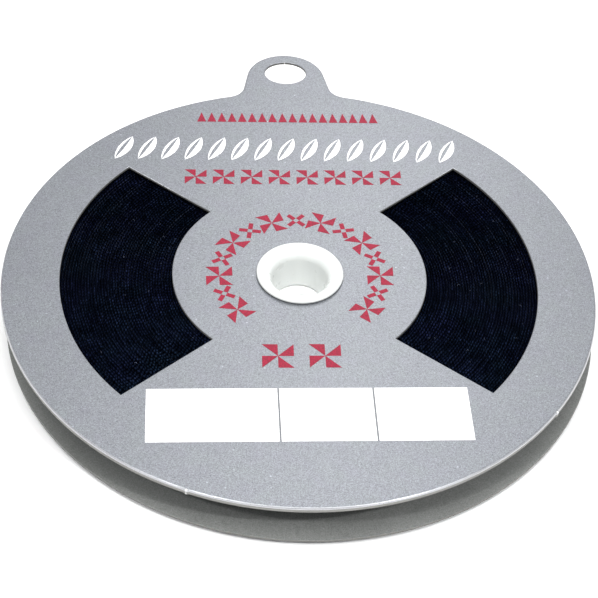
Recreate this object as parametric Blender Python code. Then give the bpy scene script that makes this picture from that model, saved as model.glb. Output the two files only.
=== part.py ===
"""A roll of folded bias binding on a flat card reel.

A long 6 mm tape is wound into one ring between two card discs. The upper disc has a hanging tab
with an oval hole and two sector windows that show the turns. A white two-part eyelet with an open
bore holds the discs together. Metres, +Z up, the reel lying on its lower side, the tab towards +Y,
and the origin below the middle of the whole outline.
"""
import math

import bmesh
import bpy

# ---- driving sizes (metres) ----
CARD_RADIUS = 0.0475
CARD_THICKNESS = 0.0005
CARD_SHOULDER = 0.0001          # the punched edge is a little rounded
CARD_SPACE = 0.00678            # between the two discs, just over the tape's width
LOWER_CARD_SHIFT_X = 0.00045    # the lower disc sits a little off the upper one

WINDOW_INNER_RADIUS = 0.02042
WINDOW_OUTER_RADIUS = 0.03826
WINDOW_CENTRE_Y = 0.00041
WINDOW_INNER_HALF_ANGLE = 46.2  # degrees from the X axis to a window's inner corners
WINDOW_OUTER_HALF_ANGLE = 43.2  # degrees from the X axis to its outer corners

TAB_HEAD_Y = 0.0518             # centre of the tab's round head, from the disc's centre
TAB_HEAD_RADIUS = 0.0071
TAB_SIDE_SLANT = 11.0           # degrees that the tab's sides splay towards the disc
TAB_FILLET = 0.0032
TAB_HOLE_Y = 0.05335
TAB_HOLE_HALF_WIDTH = 0.00376   # the hanging hole is a little wider than it is long
TAB_HOLE_HALF_LENGTH = 0.0032

PIECE_GAP = 0.0003              # air between pieces that touch
TAPE_PITCH = 0.00045            # one turn of folded tape
COIL_INNER_RADIUS = 0.01945
COIL_OUTER_RADIUS = 0.0426
COIL_EDGE = 0.00035             # soft corner along the wound edges
COIL_END_ANGLE = 35.0           # degrees, where the outer end of the tape lies

EYELET_FLANGE_RADIUS = 0.00697
EYELET_BARREL_RADIUS = 0.00498
EYELET_NECK = 0.0009            # the barrel widens by this much, at 45 degrees, below the flange
EYELET_NECK_HOLE_RADIUS = 0.00618    # the upper card's hole clears that widening
EYELET_BORE_TOP = 0.00448
EYELET_BORE_END = 0.00403
EYELET_RIM = 0.00054            # thickness of the upper flange at its rim
EYELET_CROWN_RADIUS = 0.00651   # the flange is highest here, and slopes inward like a funnel
EYELET_CROWN = 0.00059          # height of the crown over the flange's underside
EYELET_FUNNEL_SLOPE = 25.0      # degrees
EYELET_LIP = 0.00081            # radius that rolls the funnel into the bore
EYELET_LIP_DEPTH = 0.00088      # the lip's centre, below the flange's underside
EYELET_FOOT = 0.00045           # thickness of the lower flange, which the reel rests on
EYELET_FOOT_ROUND = 0.00018
EYELET_SEAM_Z = 0.0022          # where the upper and lower parts meet inside the bore

# ---- levels, worked out from the sizes ----
LOWER_CARD_Z = EYELET_FOOT + PIECE_GAP
COIL_Z = LOWER_CARD_Z + CARD_THICKNESS + PIECE_GAP
COIL_HEIGHT = CARD_SPACE - 2 * PIECE_GAP
UPPER_CARD_Z = LOWER_CARD_Z + CARD_THICKNESS + CARD_SPACE
FLANGE_Z = UPPER_CARD_Z + CARD_THICKNESS + PIECE_GAP

# ---- the disc's centre, so that the whole outline is centred on the origin ----
TAB_TOP = TAB_HEAD_Y + TAB_HEAD_RADIUS
HUB = (-LOWER_CARD_SHIFT_X / 2, -(TAB_TOP - CARD_RADIUS) / 2)

# ---- fineness ----
DISC_STEP = 3.0                 # degrees between points on a disc's edge
HOLE_STEP = 11.25               # degrees between points on a small hole
TURNED_STEPS = 48
COIL_STEPS = 96

SILVER_CARD = (0.46, 0.47, 0.50)
INNER_CARD = (0.40, 0.41, 0.40)
NAVY_CLOTH = (0.0040, 0.0055, 0.0120)
WHITE_PLASTIC = (0.90, 0.90, 0.89)


def clear_scene():
    """Remove whatever the open file holds."""
    for thing in list(bpy.data.objects):
        bpy.data.objects.remove(thing, do_unlink=True)


def make_material(name, colour, roughness, metallic=0.0):
    """A plain Principled material."""
    material = bpy.data.materials.new(name)
    material.use_nodes = True
    shader = material.node_tree.nodes["Principled BSDF"]
    shader.inputs["Base Color"].default_value = (*colour, 1.0)
    shader.inputs["Roughness"].default_value = roughness
    shader.inputs["Metallic"].default_value = metallic
    return material


def add_object(name, shape, material, place):
    """Turn a bmesh into a named object at its place, smooth but for its corners."""
    bmesh.ops.recalc_face_normals(shape, faces=shape.faces)
    bmesh.ops.triangulate(shape, faces=shape.faces)
    mesh = bpy.data.meshes.new(name)
    shape.to_mesh(mesh)
    shape.free()
    mesh.shade_smooth()
    mesh.set_sharp_from_angle(angle=math.radians(35.0))
    mesh.materials.append(material)
    thing = bpy.data.objects.new(name, mesh)
    thing.location = place
    bpy.context.collection.objects.link(thing)
    return thing


# ---- outlines ----

def arc(centre, radius, start, end, step):
    """Points on an arc from start to end (degrees), both ends included."""
    count = max(2, math.ceil(abs(end - start) / step - 1e-6))
    turns = [math.radians(start + (end - start) * i / count) for i in range(count + 1)]
    return [(centre[0] + radius * math.cos(t), centre[1] + radius * math.sin(t)) for t in turns]


def circle(centre, radius, step):
    """Points on a whole circle, without the repeated last one."""
    return arc(centre, radius, 0.0, 360.0, step)[:-1]


def oval(centre, half_width, half_length, step):
    """Points on an ellipse."""
    return [(centre[0] + half_width * x, centre[1] + half_length * y) for x, y in circle((0.0, 0.0), 1.0, step)]


def heading(from_point, to_point):
    """Direction in degrees from one point to another."""
    return math.degrees(math.atan2(to_point[1] - from_point[1], to_point[0] - from_point[0]))


def tab_fillet_centre():
    """Centre of the fillet between the disc and the tab's right side."""
    slant = math.radians(TAB_SIDE_SLANT)
    reach = TAB_HEAD_RADIUS + TAB_FILLET
    start = (reach * math.cos(slant), TAB_HEAD_Y + reach * math.sin(slant))
    down = (math.sin(slant), -math.cos(slant))
    along = start[0] * down[0] + start[1] * down[1]
    rest = start[0] ** 2 + start[1] ** 2 - (CARD_RADIUS + TAB_FILLET) ** 2
    travel = -along - math.sqrt(along ** 2 - rest)
    return (start[0] + travel * down[0], start[1] + travel * down[1])


def upper_card_outline():
    """The disc with its tab, anticlockwise from the tab's left root."""
    centre = tab_fillet_centre()
    mirrored = (-centre[0], centre[1])
    root = heading((0.0, 0.0), centre)
    disc = arc((0.0, 0.0), CARD_RADIUS, 180.0 - root, 360.0 + root, DISC_STEP)
    right = arc(centre, TAB_FILLET, 180.0 + root, 180.0 + TAB_SIDE_SLANT, HOLE_STEP)
    head = arc((0.0, TAB_HEAD_Y), TAB_HEAD_RADIUS, TAB_SIDE_SLANT, 180.0 - TAB_SIDE_SLANT, HOLE_STEP)
    left = arc(mirrored, TAB_FILLET, -TAB_SIDE_SLANT, -root, HOLE_STEP)
    return disc + right[1:] + head + left[:-1]


def window_outline(side):
    """One sector window; side is +1 for the right one and -1 for the left one."""
    centre = (0.0, WINDOW_CENTRE_Y)
    outer = arc(centre, WINDOW_OUTER_RADIUS, -WINDOW_OUTER_HALF_ANGLE, WINDOW_OUTER_HALF_ANGLE, DISC_STEP)
    inner = arc(centre, WINDOW_INNER_RADIUS, WINDOW_INNER_HALF_ANGLE, -WINDOW_INNER_HALF_ANGLE, DISC_STEP)
    return [(side * x, y) for x, y in outer + inner]


# ---- solids ----

def card(name, outline, holes, thickness, material, place):
    """A flat card cut to an outline with holes, its edges a little rounded, standing on z = 0."""
    shape = bmesh.new()
    for loop in [outline] + holes:
        points = [shape.verts.new((x, y, 0.0)) for x, y in loop]
        for first, second in zip(points, points[1:] + points[:1]):
            shape.edges.new((first, second))
    bmesh.ops.triangle_fill(shape, use_beauty=True, edges=shape.edges)
    grown = bmesh.ops.extrude_face_region(shape, geom=list(shape.faces), use_keep_orig=True)
    top = [item for item in grown["geom"] if isinstance(item, bmesh.types.BMVert)]
    bmesh.ops.translate(shape, verts=top, vec=(0.0, 0.0, thickness))
    bmesh.ops.recalc_face_normals(shape, faces=shape.faces)
    rims = [edge for edge in shape.edges
            if edge.is_manifold and edge.calc_face_angle() > math.radians(60.0)
            and abs(edge.verts[0].co.z - edge.verts[1].co.z) < thickness / 2]
    bmesh.ops.bevel(shape, geom=rims, offset=CARD_SHOULDER, segments=1, affect="EDGES")
    return add_object(name, shape, material, place)


def round_sweep(name, section_at, steps, material, place):
    """A closed ring: section_at(angle) gives the (radius, height) loop at each angle in degrees."""
    shape = bmesh.new()
    rings = []
    for i in range(steps):
        angle = 360.0 * i / steps
        cosine = math.cos(math.radians(angle))
        sine = math.sin(math.radians(angle))
        rings.append([shape.verts.new((r * cosine, r * sine, z)) for r, z in section_at(angle)])
    for ring, following in zip(rings, rings[1:] + rings[:1]):
        for j in range(len(ring)):
            k = (j + 1) % len(ring)
            shape.faces.new((ring[j], following[j], following[k], ring[k]))
    return add_object(name, shape, material, place)


def coil_section(angle):
    """Section of the wound tape: a soft-cornered block whose sides follow one turn of the spiral."""
    turned = ((angle - COIL_END_ANGLE) % 360.0) / 360.0
    inner = COIL_INNER_RADIUS + TAPE_PITCH * (turned - 1.0)
    outer = COIL_OUTER_RADIUS + TAPE_PITCH * (turned - 1.0)
    top = COIL_HEIGHT
    return [(inner + COIL_EDGE, 0.0), (outer - COIL_EDGE, 0.0), (outer, COIL_EDGE), (outer, top - COIL_EDGE),
            (outer - COIL_EDGE, top), (inner + COIL_EDGE, top), (inner, top - COIL_EDGE), (inner, COIL_EDGE)]


def eyelet_top_section(_angle):
    """Barrel, widened neck, rounded rim, and the funnel that rolls over a lip into the bore."""
    end_z = EYELET_SEAM_Z + PIECE_GAP / 2 - FLANGE_Z
    under = [(EYELET_BARREL_RADIUS, end_z), (EYELET_BARREL_RADIUS, -EYELET_NECK),
             (EYELET_BARREL_RADIUS + EYELET_NECK, 0.0), (EYELET_FLANGE_RADIUS - EYELET_RIM / 2, 0.0)]
    rim_centre = (EYELET_CROWN_RADIUS, EYELET_RIM / 2)
    rim_width = EYELET_FLANGE_RADIUS - EYELET_CROWN_RADIUS
    rim_rise = EYELET_CROWN - EYELET_RIM / 2
    rim = [(rim_centre[0] + rim_width * x, rim_centre[1] + rim_rise * z)
           for x, z in arc((0.0, 0.0), 1.0, 0.0, 90.0, 30.0)]
    lip_centre = (EYELET_BORE_TOP + EYELET_LIP, -EYELET_LIP_DEPTH)
    lip = arc(lip_centre, EYELET_LIP, 90.0 + EYELET_FUNNEL_SLOPE, 180.0, 20.0)
    return under + rim + lip + [(EYELET_BORE_END, end_z)]


def eyelet_bottom_section(_angle):
    """A short collar that meets the barrel, on the flat flange that the reel rests on."""
    end_z = EYELET_SEAM_Z - PIECE_GAP / 2
    edge = EYELET_FOOT_ROUND
    return [(EYELET_BORE_END, end_z), (EYELET_BORE_END, edge), (EYELET_BORE_END + edge, 0.0),
            (EYELET_FLANGE_RADIUS - edge, 0.0), (EYELET_FLANGE_RADIUS, edge),
            (EYELET_FLANGE_RADIUS - edge, EYELET_FOOT), (EYELET_BARREL_RADIUS, EYELET_FOOT),
            (EYELET_BARREL_RADIUS, end_z)]


def build():
    """Make every piece of the roll."""
    clear_scene()
    silver = make_material("silver_card", SILVER_CARD, 0.45)
    inner = make_material("grey_card", INNER_CARD, 0.60)
    cloth = make_material("navy_cloth", NAVY_CLOTH, 0.90)
    plastic = make_material("white_plastic", WHITE_PLASTIC, 0.25)

    hub_hole = EYELET_BARREL_RADIUS + PIECE_GAP
    card("top_card", upper_card_outline(),
         [window_outline(1), window_outline(-1),
          circle((0.0, 0.0), EYELET_NECK_HOLE_RADIUS, HOLE_STEP),
          oval((0.0, TAB_HOLE_Y), TAB_HOLE_HALF_WIDTH, TAB_HOLE_HALF_LENGTH, HOLE_STEP)],
         CARD_THICKNESS, silver, (*HUB, UPPER_CARD_Z))
    card("bottom_card", circle((0.0, 0.0), CARD_RADIUS, DISC_STEP),
         [circle((0.0, 0.0), hub_hole + LOWER_CARD_SHIFT_X, HOLE_STEP)],
         CARD_THICKNESS, inner, (HUB[0] + LOWER_CARD_SHIFT_X, HUB[1], LOWER_CARD_Z))
    round_sweep("tape_coil", coil_section, COIL_STEPS, cloth, (*HUB, COIL_Z))
    round_sweep("eyelet_top", eyelet_top_section, TURNED_STEPS, plastic, (*HUB, FLANGE_Z))
    round_sweep("eyelet_bottom", eyelet_bottom_section, TURNED_STEPS, plastic, (*HUB, 0.0))


build()
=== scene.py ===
"""Finish for a roll of folded bias binding on a flat card reel.

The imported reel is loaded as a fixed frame. Each operator below makes one piece or group of like
pieces at the frame's own places: two die-cut cards, ten metres of folded tape wound between them,
a white eyelet in two parts, plain printed marks, and the stage with its lights and camera.
Lengths are metres, +Z is up and the hanging tab points along +Y.
"""
import math
import random

import bpy
from mathutils import Matrix, Vector


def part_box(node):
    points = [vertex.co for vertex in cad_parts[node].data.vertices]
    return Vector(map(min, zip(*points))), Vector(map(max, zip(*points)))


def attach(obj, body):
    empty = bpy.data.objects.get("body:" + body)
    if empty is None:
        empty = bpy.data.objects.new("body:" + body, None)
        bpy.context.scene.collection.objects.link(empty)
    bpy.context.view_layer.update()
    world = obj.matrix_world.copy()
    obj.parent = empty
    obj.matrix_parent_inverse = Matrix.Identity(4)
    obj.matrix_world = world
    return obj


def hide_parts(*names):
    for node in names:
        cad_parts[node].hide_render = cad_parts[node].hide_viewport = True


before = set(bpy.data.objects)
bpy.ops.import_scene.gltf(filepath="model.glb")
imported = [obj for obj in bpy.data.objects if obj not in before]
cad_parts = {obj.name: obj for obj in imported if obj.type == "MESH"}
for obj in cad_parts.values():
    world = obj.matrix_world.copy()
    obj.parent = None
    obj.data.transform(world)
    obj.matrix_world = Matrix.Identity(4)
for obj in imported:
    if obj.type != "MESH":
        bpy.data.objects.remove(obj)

bl_info = {
    "name": "Bias binding reel",
    "version": (1, 0, 0),
    "blender": (4, 5, 0),
    "location": "View3D > Sidebar > Reel",
    "description": "Cards, wound tape, eyelet, printed marks and stage of a bias binding reel",
    "category": "Object",
}

MM = 0.001

# Points whose heights differ by less than this are on the same level.
SAME_LEVEL = 0.01 * MM

# ---- places read from the frame ----
CARD_LOW, CARD_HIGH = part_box("top_card")
LOWER_LOW, LOWER_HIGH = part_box("bottom_card")
COIL_LOW, COIL_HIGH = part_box("tape_coil")
UPPER_EYELET_LOW, UPPER_EYELET_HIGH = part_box("eyelet_top")
LOWER_EYELET_LOW, LOWER_EYELET_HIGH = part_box("eyelet_bottom")
HUB_X = (UPPER_EYELET_LOW[0] + UPPER_EYELET_HIGH[0]) / 2
HUB_Y = (UPPER_EYELET_LOW[1] + UPPER_EYELET_HIGH[1]) / 2
CARD_RADIUS = (CARD_HIGH[0] - CARD_LOW[0]) / 2
CARD_TOP = CARD_HIGH[2]
CARD_THICKNESS = CARD_HIGH[2] - CARD_LOW[2]
LOWER_CARD_SHIFT = (LOWER_LOW[0] + LOWER_HIGH[0]) / 2 - HUB_X
TAB_REACH = CARD_HIGH[1] - HUB_Y
FLANGE_RADIUS = (UPPER_EYELET_HIGH[0] - UPPER_EYELET_LOW[0]) / 2

# ---- the cards' cut, from the disc's centre, with angles in degrees from +X ----
WINDOW_INNER_RADIUS = 20.42 * MM
WINDOW_OUTER_RADIUS = 38.26 * MM
WINDOW_CENTRE_Y = 0.41 * MM
WINDOW_INNER_ANGLE = 46.2
WINDOW_OUTER_ANGLE = 43.2
TAB_HEAD_RADIUS = 7.1 * MM
TAB_SIDE_SLANT = 11.0
TAB_FILLET = 3.2 * MM
TAB_HOLE_Y = 53.35 * MM
TAB_HOLE_HALF_WIDTH = 3.76 * MM
TAB_HOLE_HALF_LENGTH = 3.2 * MM
HUB_HOLE_RADIUS = 6.18 * MM
LOWER_HUB_HOLE_RADIUS = 5.28 * MM
RIM_NICKS = (-112.6, -38.7)
HOLE_NICK = 90.0
NICK_REACH = 0.15 * MM
NICK_HALF_WIDTH = 0.22
HOLE_NICK_INSET = 0.13 * MM
DROOP_WIDTH = 0.45 * MM

# ---- the wound tape ----
# A wave is a height in mm, a rate for each radian swept, and a start. The slit's depth is a part of
# the tape's thickness, and FOLD_POINT is how many times its own height the round of a fold is drawn out.
SEGMENT = 2.7 * MM
COIL_OUTER_RADIUS = 42.6 * MM
COIL_END_ANGLE = 35.0
SPARE_TURN = 0.5
TURN_WAVES = ((0.055, 3.02, 0.6), (0.032, 7.03, 0.0), (0.011, 1.37, 0.0), (0.018, 0.211, 0.0))
HEIGHT_WAVES = ((0.05, 0.83, 1.1), (0.05, 0.137, 0.0))
SLIT_HALF_WIDTH = 0.12 * MM
SLIT_DEPTH = 0.45
FOLD_POINT = 2.1
FOLD_REACH = 0.38 * MM
LINT_COUNT = 30
LINT_RADIUS = 0.016 * MM
LINT_RISE = 0.10 * MM

# ---- the eyelet's flanges and lip ----
FLANGE_GAP = 0.08 * MM
FLANGE_NECK = 0.9 * MM
FLANGE_EDGE = 0.46 * MM
FLANGE_DOME = 0.35 * MM
FLANGE_UNDERCUT = 0.27 * MM
LIP_RADIUS = 1.8 * MM
LIP_DROP = 1.47 * MM
LOWER_FLANGE_THICKNESS = 0.45 * MM
LOWER_FLANGE_EDGE = 0.20 * MM

# ---- the printed panel, in mm from the disc's centre, and how high ink lies over the card ----
LABEL_LEFT, LABEL_RIGHT = -24.34, 24.16
LABEL_BOTTOM, LABEL_TOP = -35.1, -24.7
LABEL_DIVIDERS = (-4.52, 9.77)
LABEL_RULE = 0.30
INK_GAP = 0.004 * MM

# ---- wear of the coating, and a painted highlight along its rolled edges ----
# It is fully polished 1 / POLISH_AND_HIGHLIGHT_RISE of the way down a rolled edge, and less at windows and holes.
# Down the same edges the coating's colour is lightened: a painted highlight over the polish.
POLISH_AND_HIGHLIGHT_RISE = 2.5
HOLE_POLISH_AND_HIGHLIGHT = 0.22
TEAR_REACH = 0.29 * MM

# ---- the camera, fitted to the rims and windows of the photographed reel ----
FOCUS_X = -0.423 * MM
FOCUS_Y = -5.628 * MM


def srgb(red, green, blue):
    """An 8-bit display colour as linear light."""
    def linear(level):
        value = level / 255.0
        return value / 12.92 if value <= 0.04045 else ((value + 0.055) / 1.055) ** 2.4
    return (linear(red), linear(green), linear(blue), 1.0)


TORN_FIBRES = srgb(250, 250, 248)


# ------------------------------------------------------------------ settings

COLOUR = {"subtype": "COLOR", "size": 4, "min": 0.0, "max": 1.0}


class CardSettings(bpy.types.PropertyGroup):
    """Sizes and colours of the two cards."""
    shoulder: bpy.props.FloatProperty(
        name="Shoulder", description="Radius that the punch rolls along the upper card's outline",
        default=0.32 * MM, unit="LENGTH", precision=5)
    droop: bpy.props.FloatProperty(
        name="Droop", description="How far the punch presses the upper card's outline down",
        default=0.42 * MM, unit="LENGTH", precision=5)
    hole_edge: bpy.props.FloatProperty(
        name="Hole edge", description="Radius of the upper edges of the windows and holes",
        default=0.10 * MM, unit="LENGTH", precision=5)
    burr: bpy.props.FloatProperty(
        name="Lower edge", description="Radius of the edges where the punch leaves the board",
        default=0.06 * MM, unit="LENGTH", precision=5)
    silver: bpy.props.FloatVectorProperty(
        name="Coating", description="Colour of the coated side",
        default=srgb(115, 119, 123), **COLOUR)
    lilac: bpy.props.FloatVectorProperty(
        name="Coating mottle", description="Second colour of the coated side",
        default=srgb(114, 116, 123), **COLOUR)
    # The pressed edge's colour is lighter than the coating: a painted highlight along the rolled rim and the
    # edges of windows and holes.
    pressed: bpy.props.FloatVectorProperty(
        name="Pressed edge", description="Colour of the coating where the punch has polished it",
        default=srgb(186, 187, 191), **COLOUR)
    inside: bpy.props.FloatVectorProperty(
        name="Lower card", description="Colour of the lower card's plain side",
        default=srgb(128, 130, 128), **COLOUR)
    # The underside is painted darker than the lower card's plain side so that the gap between the cards gets
    # darker: painted shade.
    underside: bpy.props.FloatVectorProperty(
        name="Underside", description="Colour of the upper card's uncoated underside",
        default=srgb(113, 115, 112), **COLOUR)
    cut: bpy.props.FloatVectorProperty(
        name="Cut edge", description="Colour of the upper board along its cut outline",
        default=srgb(138, 138, 135), **COLOUR)
    cut_hole: bpy.props.FloatVectorProperty(
        name="Cut hole", description="Colour of the boards inside windows and holes",
        default=srgb(104, 104, 102), **COLOUR)
    cut_lower: bpy.props.FloatVectorProperty(
        name="Lower cut edge", description="Colour of the lower board along its cut outline",
        default=srgb(122, 122, 119), **COLOUR)


class TapeSettings(bpy.types.PropertyGroup):
    """Sizes and colours of the folded tape and its lint."""
    width: bpy.props.FloatProperty(
        name="Width", description="Finished width of the folded tape",
        default=5.98 * MM, unit="LENGTH", precision=5)
    thickness: bpy.props.FloatProperty(
        name="Thickness", description="Thickness of the tape with its folded-in edges",
        default=0.39 * MM, unit="LENGTH", precision=5)
    pitch: bpy.props.FloatProperty(
        name="Pitch", description="Distance from one turn to the next",
        default=0.4465 * MM, unit="LENGTH", precision=6)
    length: bpy.props.FloatProperty(
        name="Length", description="Length of tape on the reel, apart from the spare half turn",
        default=10.0, unit="LENGTH")
    colour: bpy.props.FloatVectorProperty(
        name="Cloth", description="Colour of the cloth along its folds",
        default=srgb(8, 11, 25), **COLOUR)
    cast: bpy.props.FloatVectorProperty(
        name="Cloth cast", description="Second colour along the folds, where the dye took differently",
        default=srgb(7, 13, 22), **COLOUR)
    # The flat face of the tape is painted lighter than its folds: a painted sheen on the cloth's face.
    flat: bpy.props.FloatVectorProperty(
        name="Cloth face", description="Colour of the cloth's flat, slightly dusty face",
        default=srgb(46, 49, 58), **COLOUR)
    lint: bpy.props.FloatVectorProperty(
        name="Lint", description="Colour of the fibres of lint",
        default=srgb(104, 112, 136), **COLOUR)


class EyeletSettings(bpy.types.PropertyGroup):
    """Sizes and colours of the eyelet."""
    bore: bpy.props.FloatProperty(
        name="Bore", description="Radius of the bore below the lip",
        default=4.48 * MM, unit="LENGTH", precision=5)
    bore_end: bpy.props.FloatProperty(
        name="Bore end", description="Radius of the bore where the two parts meet",
        default=4.03 * MM, unit="LENGTH", precision=5)
    barrel: bpy.props.FloatProperty(
        name="Barrel", description="Outer radius of the barrel",
        default=4.98 * MM, unit="LENGTH", precision=5)
    colour: bpy.props.FloatVectorProperty(
        name="Plastic", description="Colour of the plastic",
        default=srgb(213, 216, 214), **COLOUR)
    # The lower part is painted a brighter white than the upper one: painted light at the foot of the bore.
    lower_lit_colour: bpy.props.FloatVectorProperty(
        name="Lower plastic", description="Colour of the lower part, moulded in a brighter white",
        default=srgb(250, 251, 250), **COLOUR)


class PrintSettings(bpy.types.PropertyGroup):
    """Inks of the plain marks."""
    ink: bpy.props.FloatProperty(
        name="Ink", description="How far the ink stands on the card",
        default=0.02 * MM, unit="LENGTH", precision=6)
    red: bpy.props.FloatVectorProperty(
        name="Red ink", description="Colour of the red marks",
        default=srgb(134, 8, 43), **COLOUR)
    white: bpy.props.FloatVectorProperty(
        name="White ink", description="Colour of the white marks and panel",
        default=srgb(252, 252, 252), **COLOUR)
    rules: bpy.props.FloatVectorProperty(
        name="Rules", description="Colour of the thin rules in the panel",
        default=srgb(112, 114, 118), **COLOUR)


class StageSettings(bpy.types.PropertyGroup):
    """Camera, floor and surroundings."""
    turn: bpy.props.FloatProperty(
        name="Turn", description="How far the camera stands to the right of the tab's axis",
        default=math.radians(-5.454), subtype="ANGLE")
    tilt: bpy.props.FloatProperty(
        name="Tilt", description="How far the camera looks down on the card",
        default=math.radians(43.603), subtype="ANGLE")
    roll: bpy.props.FloatProperty(
        name="Roll", description="How far the camera is rolled", default=0.06574, subtype="ANGLE")
    distance: bpy.props.FloatProperty(
        name="Distance", description="From the camera to the disc's centre",
        default=0.26755, unit="LENGTH", precision=5)
    lens: bpy.props.FloatProperty(
        name="Lens", description="Focal length on a 36 mm sensor", default=100.42, unit="CAMERA")
    floor: bpy.props.FloatVectorProperty(
        name="Floor", description="Colour of the floor", default=(0.98, 0.98, 0.98, 1.0), **COLOUR)
    daylight: bpy.props.FloatProperty(
        name="Daylight", description="Strength of the white surroundings", default=0.53)


# ------------------------------------------------------------------ outlines

def arc(centre, radius, start, end, step):
    """Points on an arc from start to end in degrees, both ends included."""
    count = max(2, math.ceil(abs(end - start) / step - 1e-6))
    turns = [math.radians(start + (end - start) * i / count) for i in range(count + 1)]
    return [(centre[0] + radius * math.cos(t), centre[1] + radius * math.sin(t)) for t in turns]


def spot(centre, radius, angle):
    """The point on a circle at an angle in degrees."""
    turn = math.radians(angle)
    return (centre[0] + radius * math.cos(turn), centre[1] + radius * math.sin(turn))


def oval_arc(centre, half_width, half_height, start, end, step):
    """An arc of a circle stretched to an oval."""
    return [(centre[0] + half_width * x, centre[1] + half_height * y)
            for x, y in arc((0.0, 0.0), 1.0, start, end, step)]


def nicked_arc(centre, radius, start, end, step, nicks, reach, half_width):
    """An arc with a little torn nib at each of the rising nick angles, where the die left a bridge."""
    points = []
    for nick in nicks:
        points += arc(centre, radius, start, nick - 2.5 * half_width, step)
        points += arc(centre, radius + reach, nick - half_width, nick + half_width, half_width)
        start = nick + 2.5 * half_width
    return points + arc(centre, radius, start, end, step)


def tab_fillet_centre():
    """Centre of the fillet between the disc and the tab's right side."""
    slant = math.radians(TAB_SIDE_SLANT)
    reach = TAB_HEAD_RADIUS + TAB_FILLET
    head_y = TAB_REACH - TAB_HEAD_RADIUS
    start = (reach * math.cos(slant), head_y + reach * math.sin(slant))
    down = (math.sin(slant), -math.cos(slant))
    along = start[0] * down[0] + start[1] * down[1]
    rest = start[0] ** 2 + start[1] ** 2 - (CARD_RADIUS + TAB_FILLET) ** 2
    travel = -along - math.sqrt(along ** 2 - rest)
    return (start[0] + travel * down[0], start[1] + travel * down[1])


def tabbed_disc():
    """The upper card's outline: the disc with its torn nibs, and the hanging tab."""
    centre = tab_fillet_centre()
    mirrored = (-centre[0], centre[1])
    head = (0.0, TAB_REACH - TAB_HEAD_RADIUS)
    root = math.degrees(math.atan2(centre[1], centre[0]))
    slant = TAB_SIDE_SLANT
    outline = nicked_arc((0.0, 0.0), CARD_RADIUS, 180.0 - root, 360.0 + root, 1.5,
                         [angle + 360.0 for angle in RIM_NICKS], NICK_REACH, NICK_HALF_WIDTH)
    outline += arc(centre, TAB_FILLET, 180.0 + root, 180.0 + slant, 6.0)[1:]
    outline += arc(head, TAB_HEAD_RADIUS, slant, 180.0 - slant, 5.0)
    outline += arc(mirrored, TAB_FILLET, -slant, -root, 6.0)[:-1]
    return outline


def sector(side):
    """A window's outline; side is 1 for the right window and -1 for the left one."""
    centre = (0.0, WINDOW_CENTRE_Y)
    outer = arc(centre, WINDOW_OUTER_RADIUS, -WINDOW_OUTER_ANGLE, WINDOW_OUTER_ANGLE, 1.5)
    inner = arc(centre, WINDOW_INNER_RADIUS, WINDOW_INNER_ANGLE, -WINDOW_INNER_ANGLE, 2.5)
    return [(side * x, y) for x, y in outer + inner]


def circle(radius, step):
    """The points of a circle round the disc's centre, without the repeated last one."""
    return arc((0.0, 0.0), radius, 0.0, 360.0, step)[:-1]


# ------------------------------------------------------------------ modelling helpers

def deselect():
    """Leave edit mode and clear the selection."""
    if bpy.context.object and bpy.context.object.mode != "OBJECT":
        bpy.ops.object.mode_set(mode="OBJECT")
    bpy.ops.object.select_all(action="DESELECT")


def select_only(thing):
    """Make one object the selected and active one."""
    deselect()
    thing.select_set(True)
    bpy.context.view_layer.objects.active = thing


def settle(thing):
    """Put the object's place into its mesh."""
    select_only(thing)
    bpy.ops.object.transform_apply(location=True, rotation=True, scale=True)


def apply_modifiers(thing):
    """Apply every modifier of the object in order."""
    select_only(thing)
    for modifier in list(thing.modifiers):
        bpy.ops.object.modifier_apply(modifier=modifier.name)


def start_edit(thing, kind, action):
    """Open the object's mesh, with all or none of one kind of element selected."""
    select_only(thing)
    bpy.ops.object.mode_set(mode="EDIT")
    bpy.ops.mesh.select_mode(type=kind)
    bpy.ops.mesh.select_all(action=action)


def end_edit():
    """Close the mesh that is open."""
    bpy.ops.object.mode_set(mode="OBJECT")


def pick_edges(thing, test):
    """Open the mesh with just the edges selected whose two ends and faces' normals pass the test."""
    start_edit(thing, "EDGE", "DESELECT")
    end_edit()
    mesh = thing.data
    normals = {}
    for face in mesh.polygons:
        for key in face.edge_keys:
            normals.setdefault(key, []).append(face.normal)
    for edge in mesh.edges:
        edge.select = test([mesh.vertices[i].co for i in edge.vertices], normals[edge.key])
    bpy.ops.object.mode_set(mode="EDIT")


def pick_faces(thing, test):
    """Open the mesh with just the faces selected whose normal passes the test."""
    start_edit(thing, "FACE", "DESELECT")
    end_edit()
    for face in thing.data.polygons:
        face.select = test(face.normal)
    bpy.ops.object.mode_set(mode="EDIT")


def loop_object(name, loops, fill_type="NOTHING"):
    """An object of closed loops of points: a circle for each, its points moved along the outline."""
    deselect()
    for i, loop in enumerate(loops):
        bpy.ops.mesh.primitive_circle_add(
            vertices=len(loop), radius=MM, fill_type=fill_type, location=(0, 0, 0))
        if i == 0:
            bpy.ops.object.mode_set(mode="EDIT")
    end_edit()
    thing = bpy.context.object
    thing.name = name
    thing.data.name = name
    points = [point for loop in loops for point in loop]
    for vertex, point in zip(thing.data.vertices, points, strict=True):
        vertex.co = (*point, 0.0) if len(point) == 2 else point
    return thing


def raise_flat(height):
    """Give the flat mesh that is open its height as a closed solid, and close it."""
    bpy.ops.mesh.select_all(action="SELECT")
    bpy.ops.mesh.extrude_region_move(TRANSFORM_OT_translate={"value": (0.0, 0.0, height)})
    bpy.ops.mesh.select_all(action="SELECT")
    bpy.ops.mesh.normals_make_consistent(inside=False)
    end_edit()


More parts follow.
